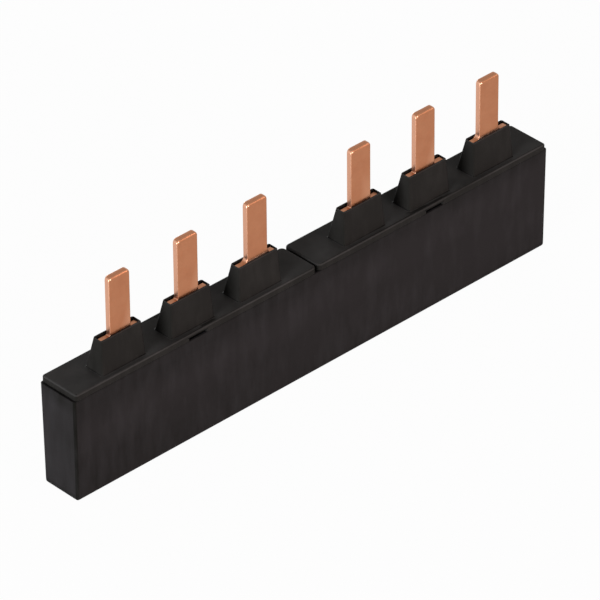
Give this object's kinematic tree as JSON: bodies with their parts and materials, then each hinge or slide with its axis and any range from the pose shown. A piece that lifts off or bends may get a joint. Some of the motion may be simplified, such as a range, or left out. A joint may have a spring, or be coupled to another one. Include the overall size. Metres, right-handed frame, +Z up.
{
  "type": "comb busbar",
  "caption": "Slim black insulated three-phase comb busbar with copper tines rising in two groups through tapered turrets, for linking side-by-side switching devices.",
  "frame": {"origin": "middle of the trough's flat underside", "axes": "+X along the row of tines from the left device to the right one, -Y towards the front face that the tines stand nearer to, +Z up along the tines"},
  "size_m": [0.09, 0.007, 0.0322],
  "materials": {
    "housing_plastic": "satin moulded",
    "cover_plastic": "satin moulded",
    "copper": "bare rolled copper, tumbled edges",
    "insulation": "plain sheet"
  },
  "bodies": {
    "root": {"housing": "housing_plastic", "cover_left": "cover_plastic", "cover_right": "cover_plastic", "bar_l1": "copper", "bar_l2": "copper", "bar_l3": "copper", "separator_front": "insulation", "separator_back": "insulation"}
  },
  "joints": []
}
